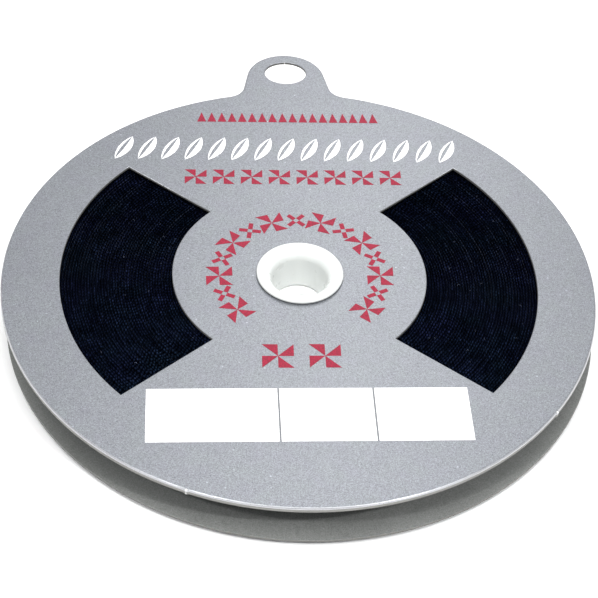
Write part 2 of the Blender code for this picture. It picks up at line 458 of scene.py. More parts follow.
def poly_curve(name, strands):
    """A 3D curve with one straight-sided strand through each list of points."""
    data = bpy.data.curves.new(name, "CURVE")
    data.dimensions = "3D"
    for strand in strands:
        spline = data.splines.new("POLY")
        spline.points.add(len(strand) - 1)
        for point, place in zip(spline.points, strand):
            point.co = (*place, 1.0)
    curve = bpy.data.objects.new(name, data)
    bpy.context.collection.objects.link(curve)
    return curve


def ride_root(thing, slot_name, *nodes):
    """Let a finished piece ride on the reel and hide the nodes that it stands for. The name of its finish is
    not used.
    """
    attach(thing, "root")
    if nodes:
        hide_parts(*nodes)


# ------------------------------------------------------------------ shader helpers

def add_node(tree, kind, inputs, **settings):
    """A new node with its settings and inputs."""
    made = tree.nodes.new(kind)
    for key, value in settings.items():
        setattr(made, key, value)
    plug(tree, made, inputs)
    return made


def plug(tree, node, inputs):
    """Link or set a node's inputs, each given as a socket, a number, a colour or a vector."""
    for key, term in inputs.items():
        if isinstance(term, bpy.types.NodeSocket):
            tree.links.new(term, node.inputs[key])
        else:
            node.inputs[key].default_value = term if isinstance(term, (int, float)) else tuple(term)


def maths(tree, operation, *terms):
    """The value of a Math node; each term is a socket or a number."""
    return add_node(tree, "ShaderNodeMath", dict(enumerate(terms)), operation=operation).outputs[0]


def plus(tree, first, second):
    """The sum of two terms."""
    return maths(tree, "ADD", first, second)


def minus(tree, first, second):
    """The first term less the second."""
    return maths(tree, "SUBTRACT", first, second)


def times(tree, first, second):
    """The product of two terms."""
    return maths(tree, "MULTIPLY", first, second)


def swing(tree, value, strength):
    """How far a noise is above or below its middle, times a strength."""
    return times(tree, minus(tree, value, 0.5), strength)


def blend_colours(tree, factor, first, second, mode="MIX"):
    """The colour of a Mix node; each term is a socket or a value."""
    return add_node(tree, "ShaderNodeMix", {0: factor, 6: first, 7: second},
                    data_type="RGBA", blend_type=mode).outputs[2]


def toned(tree, colour, tone):
    """A colour made lighter and darker by a tone around 1."""
    shade = add_node(tree, "ShaderNodeCombineColor", {0: tone, 1: tone, 2: tone})
    return blend_colours(tree, 1.0, colour, shade.outputs[0], "MULTIPLY")


def noise(tree, position, scale, detail=2.0, roughness=0.5):
    """The value of a Noise node."""
    inputs = {"Vector": position, "Scale": scale, "Detail": detail, "Roughness": roughness}
    return add_node(tree, "ShaderNodeTexNoise", inputs).outputs["Fac"]


def stretch(tree, position, scale):
    """A position scaled by (x, y, z)."""
    return add_node(tree, "ShaderNodeVectorMath", {0: position, 1: scale}, operation="MULTIPLY").outputs[0]


def spread(tree, value, low, high, new_low=0.0, new_high=1.0):
    """Map Range from low..high to new_low..new_high, clamped."""
    inputs = {"Value": value, "From Min": low, "From Max": high, "To Min": new_low, "To Max": new_high}
    return add_node(tree, "ShaderNodeMapRange", inputs).outputs[0]


def bump(tree, height, distance, strength):
    """The normal of a Bump node."""
    inputs = {"Height": height, "Distance": distance, "Strength": strength}
    return add_node(tree, "ShaderNodeBump", inputs).outputs[0]


def object_position(tree):
    """Object coordinates, in metres."""
    return add_node(tree, "ShaderNodeTexCoord", {}).outputs["Object"]


def painted(tree, name):
    """A value that is kept on the mesh's vertices."""
    return add_node(tree, "ShaderNodeAttribute", {}, attribute_name=name).outputs["Fac"]


def new_group(name, inputs, outputs):
    """A shader node group of plain numbers with its input and output nodes; inputs have their defaults."""
    group = bpy.data.node_groups.new(name, "ShaderNodeTree")
    for label, value in inputs.items():
        socket = group.interface.new_socket(name=label, in_out="INPUT", socket_type="NodeSocketFloat")
        socket.default_value = value
    for label in outputs:
        group.interface.new_socket(name=label, in_out="OUTPUT", socket_type="NodeSocketFloat")
    return group, group.nodes.new("NodeGroupInput").outputs, group.nodes.new("NodeGroupOutput")


def use_group(tree, group, **values):
    """The outputs of a group that is placed in a material with its own values."""
    return add_node(tree, "ShaderNodeGroup", values, node_tree=group).outputs


def new_material(name):
    """A material, its tree and its Principled shader."""
    material = bpy.data.materials.new(name)
    material.use_nodes = True
    return material, material.node_tree, material.node_tree.nodes["Principled BSDF"]


# ------------------------------------------------------------------ finishes

def board_grain_group():
    """Fine grain, soft mottle and stray bright flakes of a coated board."""
    if "board_grain" in bpy.data.node_groups:
        return bpy.data.node_groups["board_grain"]
    group, start, end = new_group(
        "board_grain", {"Grain": 0.5, "Mottle": 0.5, "Flakes": 0.5}, ("Tone", "Height", "Tint"))
    place = object_position(group)
    fine = noise(group, place, 5750.0, 3.0, 0.6)
    middle = noise(group, place, 2900.0, 2.0, 0.5)
    broad = noise(group, place, 100.0, 3.0, 0.5)
    cells = add_node(group, "ShaderNodeTexVoronoi", {"Vector": place, "Scale": 775.0}, feature="F1").outputs
    dots = spread(group, cells["Distance"], 0.05, 0.16, 1.0, 0.0)
    chance = add_node(group, "ShaderNodeSeparateColor", {0: cells["Color"]}).outputs[0]
    flakes = times(group, times(group, dots, maths(group, "GREATER_THAN", chance, 0.90)), start["Flakes"])
    grain = times(group, plus(group, minus(group, fine, 0.5), swing(group, middle, 0.4)), start["Grain"])
    tone = plus(group, 1.0, plus(group, grain, swing(group, broad, start["Mottle"])))
    plug(group, end, {
        "Tone": plus(group, tone, flakes),
        "Height": fine,
        "Tint": spread(group, noise(group, place, 330.0, 4.0, 0.6), 0.30, 0.70)})
    return group


def rim_wear_and_highlight_group():
    """Where the punch has pressed the coating smooth and a painted highlight lightens it, and where it has
    torn it open to white fibres.
    """
    if "rim_wear_and_highlight" in bpy.data.node_groups:
        return bpy.data.node_groups["rim_wear_and_highlight"]
    group, start, end = new_group("rim_wear_and_highlight", {"Ragged": 0.5}, ("Pressed_and_highlit", "Torn"))
    ragged = swing(group, noise(group, object_position(group), 900.0, 3.0, 0.6), start["Ragged"])
    shoulder = painted(group, "shoulder")
    # The polished band also carries the lighter pressed colour, which is a painted highlight.
    pressed = spread(group, plus(group, shoulder, ragged), 0.05, 0.45)
    torn = plus(group, painted(group, "torn"), ragged)
    plug(group, end, {
        "Pressed_and_highlit": times(group, pressed, spread(group, shoulder, 0.0, 0.15)),
        "Torn": spread(group, torn, 0.35, 0.7)})
    return group


def bias_weave_group():
    """Plain weave laid at 45 degrees to the tape, from a UV map in metres. Its tone is the weave's pattern,
    with painted highlights on the crossing threads and painted shade between them.
    """
    group, start, end = new_group(
        "bias_weave", {"Threads": 3400.0, "Slub": 0.3, "Contrast": 1.0}, ("Height", "Tone"))
    uv = add_node(group, "ShaderNodeUVMap", {}, uv_map="tape").outputs[0]
    stray = add_node(group, "ShaderNodeTexNoise", {"Vector": uv, "Scale": 700.0}).outputs["Color"]
    moved = add_node(group, "ShaderNodeVectorMath", {0: stray, 1: (0.7 * MM, 0.7 * MM, 0.0), 2: uv},
                     operation="MULTIPLY_ADD").outputs[0]
    along, across, _ = add_node(group, "ShaderNodeSeparateXYZ", {0: moved}).outputs
    turns = times(group, start["Threads"], math.pi)
    warp = times(group, plus(group, along, across), math.sqrt(0.5))
    weft = times(group, minus(group, along, across), math.sqrt(0.5))
    crossing = times(group, maths(group, "SINE", times(group, warp, turns)),
                     maths(group, "SINE", times(group, weft, turns)))
    over = spread(group, crossing, -0.9, 0.9)
    slub = noise(group, stretch(group, uv, (900.0, 2600.0, 1.0)), 1.0, 2.0, 0.5)
    slub = swing(group, slub, start["Slub"])
    uneven = noise(group, stretch(group, uv, (2600.0, 3400.0, 1.0)), 1.0, 3.0, 0.7)
    uneven = spread(group, uneven, 0.38, 0.68, 0.1, 2.1)
    # Threads that cross over are painted lighter and the hollows between them darker: painted highlight and
    # shade on the weave's relief.
    knot_highlights = times(group, maths(group, "POWER", over, 3.0), times(group, uneven, start["Contrast"]))
    valley_shade = minus(group, 1.0, times(group, start["Contrast"], 0.22))
    tone = plus(group, valley_shade, plus(group, knot_highlights, slub))
    plug(group, end, {"Height": plus(group, over, slub), "Tone": maths(group, "MAXIMUM", tone, 0.05)})
    return group


def silver_board(settings):
    """Coated silver-grey board with a lilac mottle, polished and lightened by a painted highlight where the
    punch pressed it.
    """
    material, tree, shader = new_material("silver_board")
    grain = use_group(tree, board_grain_group(), Grain=2.2, Mottle=0.08, Flakes=0.8)
    wear = use_group(tree, rim_wear_and_highlight_group(), Ragged=0.45)
    coat = blend_colours(tree, grain["Tint"], settings.silver, settings.lilac)
    # The pressed edge takes the lighter pressed colour: a painted highlight along the rolled edges.
    colour = blend_colours(tree, wear["Pressed_and_highlit"], toned(tree, coat, grain["Tone"]), settings.pressed)
    metal = spread(tree, wear["Pressed_and_highlit"], 0.0, 1.0, 0.30, 0.70)
    rough = spread(tree, grain["Height"], 0.3, 0.7, 0.32, 0.42)
    rough = plus(tree, rough, times(tree, wear["Pressed_and_highlit"], -0.06))
    plug(tree, shader, {
        "Base Color": blend_colours(tree, wear["Torn"], colour, TORN_FIBRES),
        "Metallic": times(tree, metal, minus(tree, 1.0, wear["Torn"])),
        "Roughness": plus(tree, rough, times(tree, wear["Torn"], 0.4)),
        "Normal": bump(tree, grain["Height"], 0.015 * MM, 0.7)})
    return material


def plain_board(name, colour):
    """Uncoated side of the board."""
    material, tree, shader = new_material(name)
    grain = use_group(tree, board_grain_group(), Grain=1.3, Mottle=0.30, Flakes=0.25)
    plug(tree, shader, {
        "Base Color": toned(tree, colour, grain["Tone"]),
        "Roughness": spread(tree, grain["Height"], 0.3, 0.7, 0.62, 0.75),
        "Specular IOR Level": 0.35,
        "Normal": bump(tree, grain["Height"], 0.02 * MM, 0.7)})
    return material


def cut_board(name, colour):
    """Cut edge of the board: pressed grey plies and loose fibres, white where it was torn."""
    material, tree, shader = new_material(name)
    place = object_position(tree)
    plies = noise(tree, stretch(tree, place, (260.0, 260.0, 9000.0)), 1.0, 3.0, 0.6)
    fibres = noise(tree, place, 2600.0, 3.0, 0.7)
    wear = use_group(tree, rim_wear_and_highlight_group(), Ragged=0.9)
    tone = plus(tree, spread(tree, plies, 0.3, 0.7, 0.80, 1.12), swing(tree, fibres, 0.45))
    plug(tree, shader, {
        "Base Color": blend_colours(tree, wear["Torn"], toned(tree, colour, tone), TORN_FIBRES),
        "Roughness": 0.85,
        "Specular IOR Level": 0.3,
        "Normal": bump(tree, plus(tree, plies, times(tree, fibres, 0.6)), 0.05 * MM, 0.8)})
    return material


def navy_cloth(settings):
    """Very dark navy cotton cut on the bias."""
    material, tree, shader = new_material("navy_cloth")
    weave = use_group(tree, bias_weave_group(), Threads=2150.0, Slub=1.2, Contrast=4.2)
    place = object_position(tree)
    faded = spread(tree, noise(tree, place, 260.0, 3.0, 0.6), 0.35, 0.65, 0.7, 1.35)
    cast = spread(tree, noise(tree, place, 150.0), 0.35, 0.65)
    dye = blend_colours(tree, cast, settings.colour, settings.cast)
    # Away from the folds the cloth takes the lighter face colour, which is a painted sheen.
    dye = blend_colours(tree, spread(tree, painted(tree, "fold"), 0.0, 0.4), settings.flat, dye)
    plug(tree, shader, {
        "Base Color": toned(tree, dye, times(tree, weave["Tone"], faded)),
        "Roughness": 0.9,
        "Specular IOR Level": 0.0,
        "Sheen Weight": 0.005,
        "Sheen Roughness": 0.4,
        "Sheen Tint": (0.35, 0.50, 1.0, 1.0),
        "Normal": bump(tree, weave["Height"], 0.03 * MM, 0.7)})
    return material


def lint_fibre(colour):
    """Pale cotton lint."""
    material, tree, shader = new_material("lint")
    tone = spread(tree, noise(tree, object_position(tree), 1800.0, 1.0), 0.3, 0.7, 0.7, 1.2)
    plug(tree, shader, {"Base Color": toned(tree, colour, tone), "Roughness": 0.9})
    return material


def white_plastic(name, colour):
    """Moulded white plastic with a very slight orange peel."""
    material, tree, shader = new_material(name)
    place = object_position(tree)
    peel = noise(tree, place, 650.0)
    dust = spread(tree, noise(tree, place, 300.0, 4.0, 0.7), 0.55, 0.8, 1.0, 0.965)
    plug(tree, shader, {
        "Base Color": toned(tree, colour, dust),
        "Roughness": spread(tree, peel, 0.3, 0.7, 0.26, 0.34),
        "Subsurface Weight": 0.12,
        "Subsurface Radius": (1.0 * MM, 0.9 * MM, 0.8 * MM),
        "Subsurface Scale": 1.0,
        "Normal": bump(tree, peel, 0.01 * MM, 0.5)})
    return material


def printing_ink(name, colour, grainy):
    """Flat printing ink: the board's grain shows through a little."""
    material, tree, shader = new_material(name)
    grain = use_group(tree, board_grain_group(), Grain=grainy, Mottle=0.05, Flakes=0.0)
    plug(tree, shader, {
        "Base Color": toned(tree, colour, grain["Tone"]),
        "Roughness": spread(tree, grain["Height"], 0.3, 0.7, 0.42, 0.52),
        "Specular IOR Level": 0.25,
        "Normal": bump(tree, grain["Height"], 0.008 * MM, 0.5)})
    return material


def pale_floor(colour):
    """Plain matt floor."""
    material, tree, shader = new_material("pale_floor")
    tone = spread(tree, noise(tree, object_position(tree), 35.0), 0.3, 0.7, 0.99, 1.0)
    plug(tree, shader, {"Base Color": toned(tree, colour, tone), "Roughness": 0.9, "Specular IOR Level": 0.1})
    return material


# ------------------------------------------------------------------ cards

def on_outline(point):
    """True for a point of a card's outline, and not of its windows and holes."""
    by_hanging_hole = math.hypot(point.x, point.y - TAB_HOLE_Y) < TAB_HOLE_HALF_WIDTH + 0.6 * MM
    return math.hypot(point.x, point.y) > 0.9 * CARD_RADIUS and not by_hanging_hole


def rim_edge(ends, normals):
    """True for a level edge between a flat side and a cut wall."""
    level = abs(ends[0].z - ends[1].z) < SAME_LEVEL
    turned = len(normals) == 2 and normals[0].angle(normals[1]) > math.radians(60.0)
    return level and turned


def round_rims(card, test, radius, segments):
    """Round the card's rims at the points that pass the test."""
    pick_edges(card, lambda ends, normals: rim_edge(ends, normals) and test(ends[0]))
    bpy.ops.mesh.bevel(offset=radius, segments=segments, profile=0.5, affect="EDGES")
    end_edit()


def press_outline(card, droop):
    """Press the lower rim of the outline down, with the underside sloping to it from a little further in."""
    pick_faces(card, lambda normal: normal.z < -0.9)
    bpy.ops.mesh.inset(thickness=DROOP_WIDTH)
    end_edit()
    walls = [face for face in card.data.polygons if abs(face.normal.z) < 0.1]
    for index in {i for face in walls for i in face.vertices}:
        point = card.data.vertices[index].co
        if point.z < SAME_LEVEL and on_outline(point):
            point.z -= droop


def mark_wear_and_highlight(card, thickness, shoulder, hole_edge, torn_at):
    """Keep on the vertices how far the coating is polished and painted lighter as a highlight, and how far
    the edge is torn open.
    """
    pressed = card.data.attributes.new("shoulder", "FLOAT", "POINT")
    torn = card.data.attributes.new("torn", "FLOAT", "POINT")
    for vertex in card.data.vertices:
        rolled, most = (shoulder, 1.0) if on_outline(vertex.co) else (hole_edge, HOLE_POLISH_AND_HIGHLIGHT)
        if vertex.co.z > SAME_LEVEL:
            pressed.data[vertex.index].value = min(most, POLISH_AND_HIGHLIGHT_RISE * (thickness - vertex.co.z) / rolled)
        near = min((math.dist(vertex.co.xy, place) for place in torn_at), default=1.0)
        torn.data[vertex.index].value = max(0.0, 1.0 - near / TEAR_REACH)


def die_cut_card(name, loops, centre, bottom, thickness, edges, materials, torn_at=()):
    """A flat card cut to closed loops.

    edges are the upper radius of the outline, that of the holes, and how far the outline is pressed
    down. materials are those of the upper side, the lower side, the cut outline and the cut holes.
    The edge is torn open to white fibres at the places in torn_at.
    """
    shoulder, hole_edge, droop = edges
    card = loop_object(name, loops)
    start_edit(card, "VERT", "SELECT")
    bpy.ops.mesh.fill(use_beauty=True)
    raise_flat(thickness)
    if droop > 0.0:
        press_outline(card, droop)
    round_rims(card, lambda point: point.z > SAME_LEVEL and on_outline(point), shoulder, 6)
    round_rims(card, lambda point: point.z > thickness / 2 and not on_outline(point), hole_edge, 2)
    round_rims(card, lambda point: point.z < SAME_LEVEL, bpy.context.scene.reel_card.burr, 2)
    mark_wear_and_highlight(card, thickness, shoulder, hole_edge, torn_at)
    for material in materials:
        card.data.materials.append(material)
    for face in card.data.polygons:
        face.use_smooth = abs(face.normal.z) < 0.9999
        if face.normal.z > 0.10:
            face.material_index = 0
        elif face.normal.z < -0.5:
            face.material_index = 1
        else:
            face.material_index = 2 if on_outline(card.data.vertices[face.vertices[0]].co) else 3
    card.location = (*centre, bottom)
    settle(card)
    return card


class REEL_OT_cards(bpy.types.Operator):
    """Cut the upper card with its tab and windows, and the plain lower card"""
    bl_idname = "reel.cards"
    bl_label = "Cards"

    def execute(self, context):
        settings = context.scene.reel_card
        silver = silver_board(settings)
        inside = plain_board("plain_board", settings.inside)
        # The underside's darker colour is painted shade for the gap between the cards.
        underside = plain_board("underside_board_painted_shade", settings.underside)
        cut = cut_board("cut_board", settings.cut)
        cut_hole = cut_board("cut_hole_board", settings.cut_hole)
        cut_lower = cut_board("cut_lower_board", settings.cut_lower)
        hanging_hole = oval_arc((0.0, TAB_HOLE_Y), TAB_HOLE_HALF_WIDTH, TAB_HOLE_HALF_LENGTH, 0.0, 360.0, 5.0)
        loops = [tabbed_disc(), sector(1), sector(-1), circle(HUB_HOLE_RADIUS, 5.0), hanging_hole[:-1]]
        tears = [spot((0.0, 0.0), CARD_RADIUS, angle) for angle in RIM_NICKS]
        tears.append(spot((0.0, TAB_HOLE_Y), TAB_HOLE_HALF_LENGTH - HOLE_NICK_INSET, HOLE_NICK))
        upper = die_cut_card("upper_card", loops, (HUB_X, HUB_Y), CARD_LOW[2], CARD_THICKNESS,
                             (settings.shoulder, settings.hole_edge, settings.droop),
                             (silver, underside, cut, cut_hole), tears)
        ride_root(upper, "silver_card", "top_card")
        loops = [circle(CARD_RADIUS, 1.5), circle(LOWER_HUB_HOLE_RADIUS + LOWER_CARD_SHIFT, 5.0)]
        lower = die_cut_card("lower_card", loops, (HUB_X + LOWER_CARD_SHIFT, HUB_Y), LOWER_LOW[2],
                             LOWER_HIGH[2] - LOWER_LOW[2], (settings.burr, settings.burr, 0.0),
                             (inside, silver, cut_lower, cut_hole))
        ride_root(lower, "grey_card", "bottom_card")
        return {"FINISHED"}


# ------------------------------------------------------------------ wound tape

def waves(rows, swept):
    """The sum of sine waves, each of a height in mm, a rate for each radian swept, and a start."""
    return sum(height * MM * math.sin(rate * swept + start) for height, rate, start in rows)


def winding_path(tape):
    """Points along the middle of the wound tape, from its inner end to its outer end.

    They are worked out from the outer end inwards: as many even turns as the length fills, and the
    spare turn. Each then strays a little from its even radius and height.
    """
    middle_z = (COIL_LOW[2] + COIL_HIGH[2]) / 2
    outer = COIL_OUTER_RADIUS - tape.thickness / 2
    whole = (outer - math.sqrt(outer ** 2 - tape.pitch * tape.length / math.pi)) / tape.pitch
    points = []
    swept = 0.0
    while swept < 2 * math.pi * (whole + SPARE_TURN):
        around = math.radians(COIL_END_ANGLE) - swept
        radius = outer - tape.pitch * (swept / (2 * math.pi)) + waves(TURN_WAVES, swept)
        points.append((HUB_X + radius * math.cos(around), HUB_Y + radius * math.sin(around),
                       middle_z + waves(HEIGHT_WAVES, swept)))
        swept += SEGMENT / radius
    return points[::-1]


def tape_segment(tape):
    """One short length of folded tape: rounded folds, a slit down the back, and no ends."""
    deselect()
    bpy.ops.mesh.primitive_cube_add(size=1.0, location=(SEGMENT / 2, 0.0, 0.0))
    strip = bpy.context.object
    strip.name = "wound_tape"
    strip.data.name = "wound_tape"
    strip.scale = (SEGMENT, tape.thickness, tape.width)
    settle(strip)
    pick_edges(strip, lambda ends, _normals: abs(ends[0].x - ends[1].x) > SEGMENT / 2)
    bpy.ops.mesh.bevel(offset=tape.thickness * 0.44, segments=3, profile=0.5, affect="EDGES")
    for level in (-SLIT_HALF_WIDTH, 0.0, SLIT_HALF_WIDTH):
        bpy.ops.mesh.select_all(action="SELECT")
        bpy.ops.mesh.bisect(plane_co=(0.0, 0.0, level), plane_no=(0.0, 0.0, 1.0))
    end_edit()
    fold = strip.data.attributes.new("fold", "FLOAT", "POINT")
    for vertex in strip.data.vertices:
        if abs(vertex.co.z) < SAME_LEVEL and vertex.co.y > 0.0:
            vertex.co.y -= tape.thickness * SLIT_DEPTH
        below = tape.width / 2 - abs(vertex.co.z)
        if below < tape.thickness / 2:
            vertex.co.z = math.copysign(tape.width / 2 - FOLD_POINT * below, vertex.co.z)
        fold.data[vertex.index].value = max(0.0, 1.0 - (tape.width / 2 - abs(vertex.co.z)) / FOLD_REACH)
    pick_faces(strip, lambda normal: abs(normal.x) > 0.9)
    bpy.ops.mesh.delete(type="FACE")
    end_edit()
    unroll(strip)
    return strip


def unroll(strip):
    """A UV map in metres: along the tape, and round its section."""
    mesh = strip.data
    places = sorted({(round(v.co.y, 7), round(v.co.z, 7)) for v in mesh.vertices},
                    key=lambda place: math.atan2(place[1], place[0] * 14.0))
    around = {}
    total = 0.0
    for place, following in zip(places, places[1:] + places[:1]):
        around[place] = total
        total += math.dist(place, following)
    for layer in list(mesh.uv_layers):
        mesh.uv_layers.remove(layer)
    layer = mesh.uv_layers.new(name="tape")
    for face in mesh.polygons:
        corners_round = []
        for corner in face.loop_indices:
            point = mesh.vertices[mesh.loops[corner].vertex_index].co
            corners_round.append((corner, point.x, around[(round(point.y, 7), round(point.z, 7))]))
        turns = [turn for _, _, turn in corners_round]
        wraps = max(turns) - min(turns) > total / 2
        for corner, x, turn in corners_round:
            layer.data[corner].uv = (x, turn + total if wraps and turn < total / 2 else turn)


def close_ends(thing):
    """Fill the open ends of a tube."""
    start_edit(thing, "EDGE", "DESELECT")
    bpy.ops.mesh.select_non_manifold(extend=False, use_wire=False, use_multi_face=False,
                                     use_non_contiguous=False, use_verts=False)
    bpy.ops.mesh.fill()
    end_edit()


class REEL_OT_wound_tape(bpy.types.Operator):
    """Fold ten metres of tape and wind it between the cards"""
    bl_idname = "reel.wound_tape"
    bl_label = "Wound tape"

    def execute(self, context):
        tape = context.scene.reel_tape
        points = winding_path(tape)
        path = poly_curve("winding_path", [points])
        path.data.twist_mode = "Z_UP"
        strip = tape_segment(tape)
        repeat = strip.modifiers.new("whole length", "ARRAY")
        repeat.count = len(points) - 2
        repeat.use_relative_offset = False
        repeat.use_constant_offset = True
        repeat.constant_offset_displace = (SEGMENT, 0.0, 0.0)
        repeat.use_merge_vertices = True
        repeat.merge_threshold = 0.001 * MM
        repeat.offset_u = SEGMENT
        wind = strip.modifiers.new("wound", "CURVE")
        wind.object = path
        wind.deform_axis = "POS_X"
        apply_modifiers(strip)
        bpy.data.objects.remove(path, do_unlink=True)
        close_ends(strip)
        select_only(strip)
        bpy.ops.object.shade_smooth_by_angle(angle=math.radians(60.0))
        strip.data.materials.append(navy_cloth(tape))
        ride_root(strip, "navy_cloth", "tape_coil")
        return {"FINISHED"}


def lint_strand(chance, top):
    """Points along one short curled fibre that lies on the turns in a window."""
    side = chance.choice((0.0, 180.0))
    angle = math.radians(side + chance.uniform(-38.0, 38.0))
    radius = chance.uniform(21.3, 37.5) * MM
    length = chance.uniform(0.15, 0.5) * MM
    heading = chance.uniform(0.0, math.pi)
    curl = chance.uniform(-0.9, 0.9)
    start = Vector((HUB_X + radius * math.cos(angle), HUB_Y + radius * math.sin(angle), top))
    return [start + Vector((math.cos(heading + curl * t) * length * t,
                            math.sin(heading + curl * t) * length * t,
                            LINT_RISE * math.sin(math.pi * t))) for t in (0.0, 0.25, 0.5, 0.75, 1.0)]


class REEL_OT_lint(bpy.types.Operator):
    """Scatter a few short fibres of lint over the turns that show"""
    bl_idname = "reel.lint"
    bl_label = "Lint"

    def execute(self, context):
        tape = context.scene.reel_tape
        chance = random.Random(11)
        top = (COIL_LOW[2] + COIL_HIGH[2]) / 2 + tape.width / 2
        lint = poly_curve("lint", [lint_strand(chance, top) for _ in range(LINT_COUNT)])
        lint.data.bevel_depth = LINT_RADIUS
        lint.data.bevel_resolution = 0
        lint.data.use_fill_caps = True
        select_only(lint)
        bpy.ops.object.convert(target="MESH")
        lint = context.object
        lint.data.materials.append(lint_fibre(tape.lint))
        ride_root(lint, "navy_cloth")
        return {"FINISHED"}


# ------------------------------------------------------------------ eyelet

def turned_piece(name, section, material):
    """Spin a closed section of (radius, height) points round the hub's axis."""
    thing = loop_object(name, [[(r, 0.0, z) for r, z in section]])
    thing.location = (HUB_X, HUB_Y, 0.0)
    settle(thing)
    start_edit(thing, "VERT", "SELECT")
    bpy.ops.mesh.spin(steps=96, angle=2 * math.pi, center=(HUB_X, HUB_Y, 0.0), axis=(0.0, 0.0, 1.0))
    bpy.ops.mesh.select_all(action="SELECT")
    bpy.ops.mesh.remove_doubles(threshold=0.002 * MM)
    bpy.ops.mesh.normals_make_consistent(inside=False)
    end_edit()
    bpy.ops.object.shade_smooth_by_angle(angle=math.radians(32.0))
    thing.data.materials.append(material)
    return thing


def upper_section(settings):
    """Section of the upper part: barrel, flange with a domed edge, and a wide lip into the bore."""
    end_z = UPPER_EYELET_LOW[2]
    under_z = CARD_TOP + FLANGE_GAP
    edge = (FLANGE_RADIUS - FLANGE_EDGE, under_z + FLANGE_UNDERCUT)
    section = [(settings.barrel, end_z), (settings.barrel, under_z - FLANGE_NECK),
               (settings.barrel + FLANGE_NECK, under_z)]
    section += oval_arc(edge, FLANGE_EDGE, FLANGE_UNDERCUT, -80.0, -10.0, 14.0)
    section += oval_arc(edge, FLANGE_EDGE, FLANGE_DOME, 0.0, 90.0, 10.0)
    section += arc((settings.bore + LIP_RADIUS, under_z - LIP_DROP), LIP_RADIUS, 115.0, 180.0, 4.0)
    return section + [(settings.bore_end, end_z)]


def lower_section(settings):
    """Section of the lower part: a short barrel on a flat flange with a round edge."""
    foot = LOWER_EYELET_LOW[2]
    top = LOWER_EYELET_HIGH[2]
    edge = LOWER_FLANGE_EDGE
    upper_side = foot + LOWER_FLANGE_THICKNESS
    section = [(settings.bore_end, top), (settings.bore_end, foot + edge), (settings.bore_end + edge, foot)]
    section += arc((FLANGE_RADIUS - edge, foot + edge), edge, -90.0, 90.0, 22.5)
    return section + [(settings.barrel + edge, upper_side), (settings.barrel, upper_side + edge),
                      (settings.barrel, top)]


class REEL_OT_eyelet(bpy.types.Operator):
    """Turn the two parts of the white eyelet"""
    bl_idname = "reel.eyelet"
    bl_label = "Eyelet"

    def execute(self, context):
        settings = context.scene.reel_eyelet
        plastic = white_plastic("white_plastic", settings.colour)
        upper = turned_piece("eyelet_upper", upper_section(settings), plastic)
        ride_root(upper, "white_plastic", "eyelet_top")
        # The lower part's brighter white is painted light at the foot of the bore.
        plastic = white_plastic("lower_lit_plastic", settings.lower_lit_colour)
        lower = turned_piece("eyelet_lower", lower_section(settings), plastic)
        ride_root(lower, "white_plastic", "eyelet_bottom")
        return {"FINISHED"}


# ------------------------------------------------------------------ printed marks
# They are laid out in mm from the disc's centre, with +Y towards the tab.

TRIANGLE = ((-0.5, -0.5), (0.5, -0.5), (0.0, 0.5))
OBLONG = ((-0.5, -0.5), (0.5, -0.5), (0.5, 0.5), (-0.5, 0.5))
PATCH = ((0.0, 0.0), (0.5, 0.0), (0.5, 0.5))
QUARTERS = (0.0, 90.0, 180.0, 270.0)


def mark(shape, centre, turn, size):
    """A shape one wide and one high, sized, turned and placed on the card."""
    cosine = math.cos(math.radians(turn))
    sine = math.sin(math.radians(turn))
    sized = [(x * size[0], y * size[1]) for x, y in shape]
    return [(centre[0] + cosine * x - sine * y, centre[1] + sine * x + cosine * y) for x, y in sized]


def half_leaf(inner, outer):
    """One side of a leaf between two bows, tip to tip; each bow is how far it stands out at the middle."""
    steps = [i / 8.0 for i in range(9)]
    rising = [(outer * math.sin(math.pi * t) ** 0.8, t - 0.5) for t in steps]
    falling = [(inner * math.sin(math.pi * t) ** 0.8, t - 0.5) for t in steps[-2:0:-1]]
    return rising + falling


def pinwheel(centre, size, turn):
    """Four corner patches round a middle, as in pieced patchwork."""
    return [mark(PATCH, centre, turn + quarter, (size, size)) for quarter in QUARTERS]


def cross_stitch(centre, size, turn):
    """Four short stitches that meet round an open middle."""
    stitch = (0.40 * size, 0.21 * size)
    return [mark(OBLONG, spot(centre, 0.31 * size, turn + quarter), turn + quarter, stitch)
            for quarter in QUARTERS]


def small_row():
    """A row of small triangles near the rim."""
    count = 18
    return [mark(TRIANGLE, (-15.4 + 30.4 * i / (count - 1), 40.3 - 0.011 * i), 0.0, (1.58, 2.62))
            for i in range(count)]


def leaf_row():
    """A border of slanted leaves, each with one broad and one thin half beside an open vein."""
    count = 15
    halves = (half_leaf(0.06, 0.42), half_leaf(-0.30, -0.16))
    leaves = []
    for i in range(count):
        x = -28.9 + 56.0 * i / (count - 1)
        y = 31.75 - 0.014 * (x + 29.0)
        leaves += [mark(half, (x, y), -26.0, (3.0, 6.7)) for half in halves]
    return leaves


def middle_row():
    """Eight pieced patches between the windows' upper corners."""
    return [patch for i in range(8) for patch in pinwheel((-16.55 + 4.75 * i, 24.05 - 0.027 * i), 3.7, -0.6)]


def ring_of_marks():
    """Pieced patches and cross stitches by turns round the eyelet, open towards the front."""
    marks = []
    count = 15
    for i in range(count):
        angle = 218.0 - 256.0 * i / (count - 1)
        place = spot((0.0, 0.0), 12.94, angle)
        marks += cross_stitch(place, 3.53, angle + 45.0) if i % 2 else pinwheel(place, 4.25, angle)
    return marks


def front_pair():
    """Two larger pieced patches in front of the eyelet."""
    return pinwheel((-4.25, -18.0), 4.9, -0.6) + pinwheel((3.0, -18.0), 4.9, -0.6)


def panel_strip(left, right):
    """An upright rectangle, as high as the label panel."""
    return ((left, LABEL_BOTTOM), (right, LABEL_BOTTOM), (right, LABEL_TOP), (left, LABEL_TOP))


